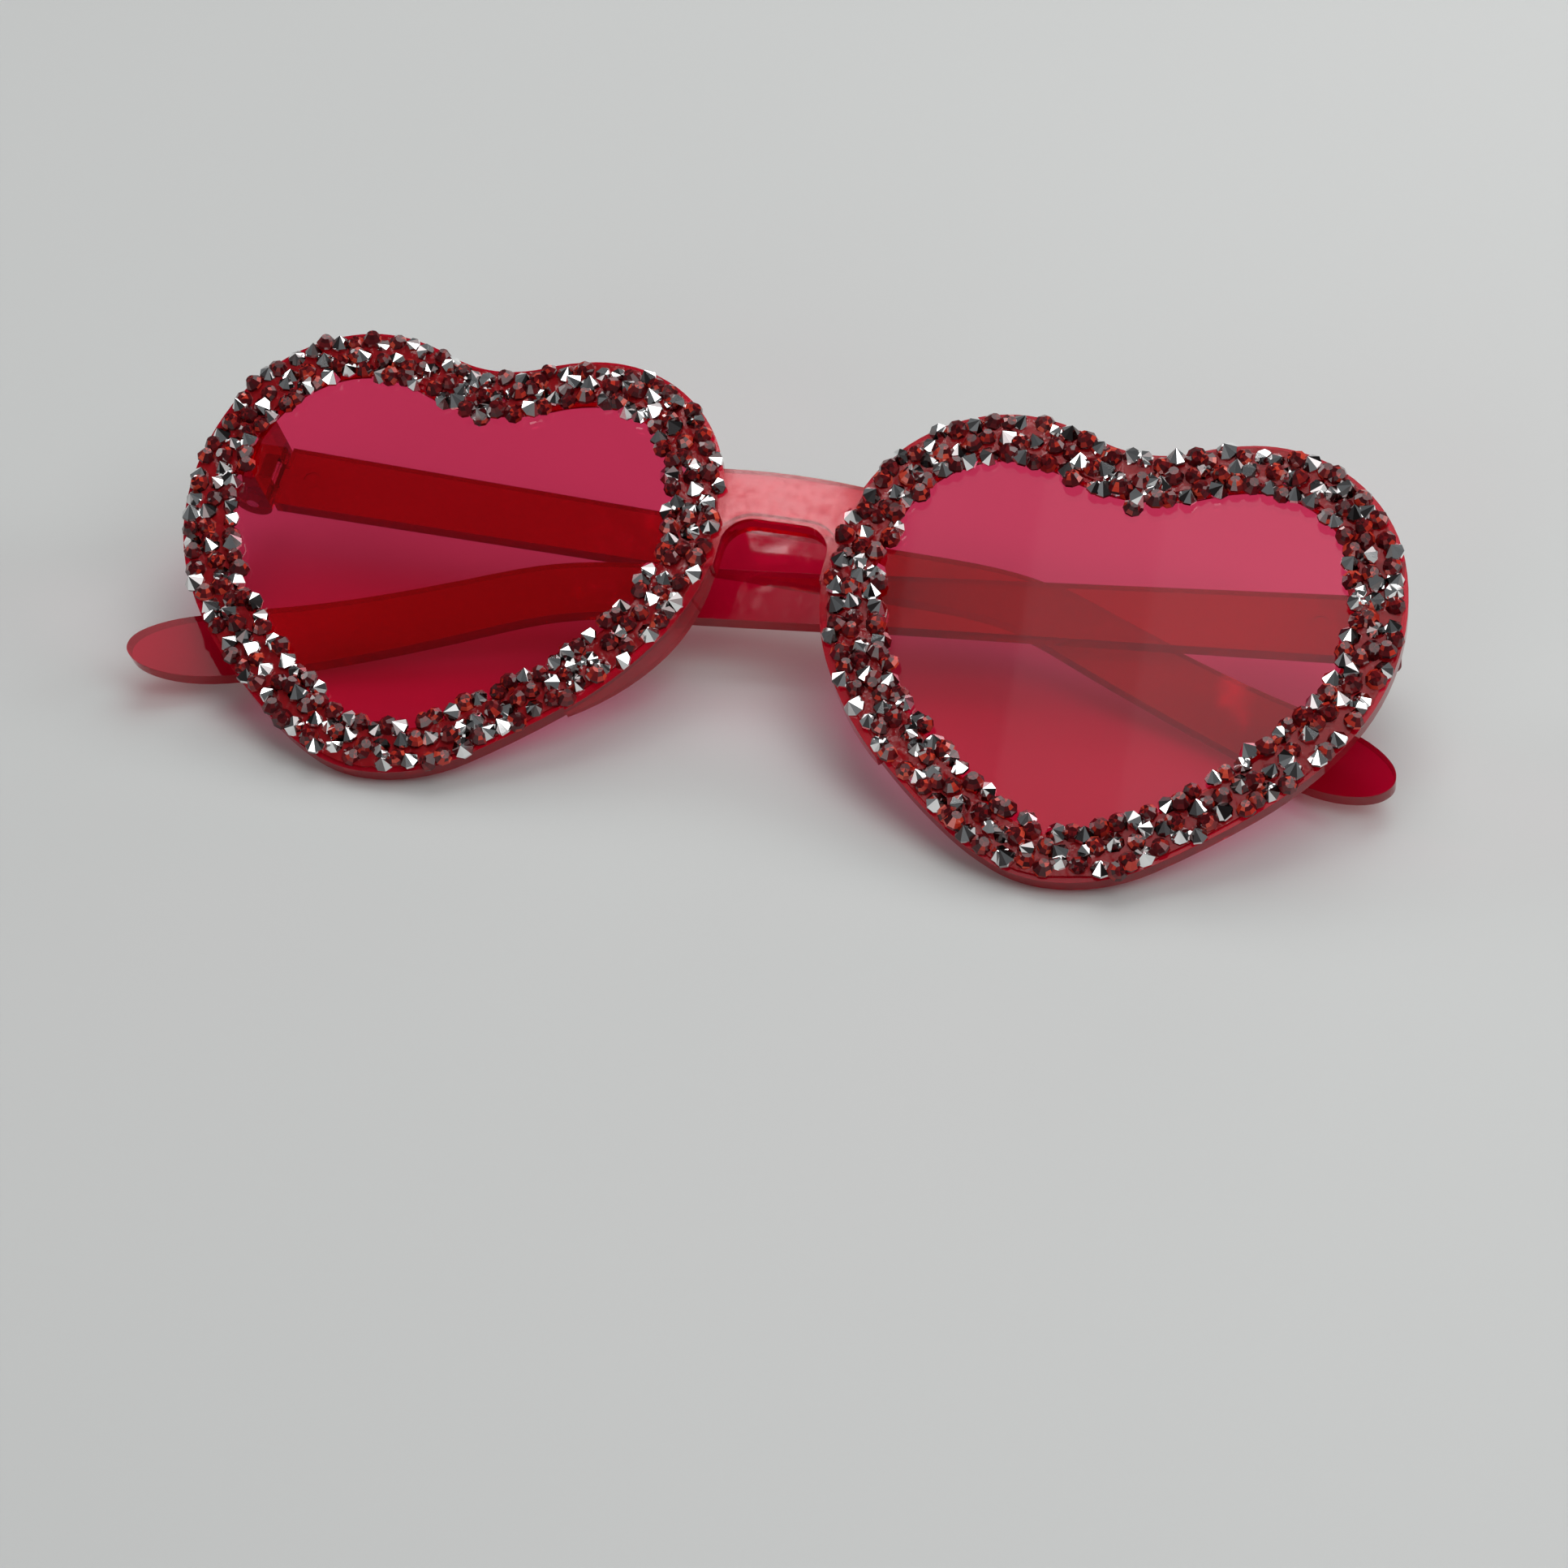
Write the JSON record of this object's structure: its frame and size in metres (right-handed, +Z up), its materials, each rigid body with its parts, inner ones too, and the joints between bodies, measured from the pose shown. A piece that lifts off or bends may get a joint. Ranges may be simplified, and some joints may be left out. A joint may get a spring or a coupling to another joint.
{
  "type": "sunglasses",
  "caption": "Folded heart shaped sunglasses: translucent red frame, tinted flat lenses, rims covered in glued faceted stones, and hooked temples that swing on screw hinges.",
  "frame": {"origin": "middle of the footprint of the folded pair, on the table it lies on", "axes": "+X to the viewer's right along the front (the wearer's left), +Y back from the heart tips over the table, +Z up"},
  "size_m": [0.1516, 0.0554, 0.027],
  "materials": {
    "frame_plastic": "glossy translucent red moulded plastic",
    "lens_tint": "flat polished pink-red tinted sheet",
    "clear_glue": "cured clear glue over red plastic",
    "silver_foil": "mirror foiled cone backs",
    "garnet_glass": "dark garnet faceted glass",
    "screw_steel": "plain steel"
  },
  "bodies": {
    "front": {"front_frame": "frame_plastic", "right_lens": "lens_tint", "right_glue_bed": "clear_glue", "right_silver_stones": "silver_foil", "right_red_stones": "garnet_glass", "right_hinge_screw": "screw_steel", "left_lens": "lens_tint", "left_glue_bed": "clear_glue", "left_silver_stones": "silver_foil", "left_red_stones": "garnet_glass", "left_hinge_screw": "screw_steel"},
    "right_temple": {"right_temple": "frame_plastic"},
    "left_temple": {"left_temple": "frame_plastic"}
  },
  "joints": [
    {"name": "right_temple_fold", "type": "hinge", "parent": "front", "child": "right_temple", "pos_m": [-0.07166, 0.01579, 0.00945], "axis": [0.0175, 0.9155, 0.4019], "range_deg": [0, 96]},
    {"name": "left_temple_fold", "type": "hinge", "parent": "front", "child": "left_temple", "pos_m": [0.07034, 0.01579, 0.00945], "axis": [0.1115, -0.91, -0.3994], "range_deg": [0, 87]}
  ],
  "couplings": [
    {"joint": "left_temple_fold", "follows": "right_temple_fold", "ratio": 0.9}
  ]
}
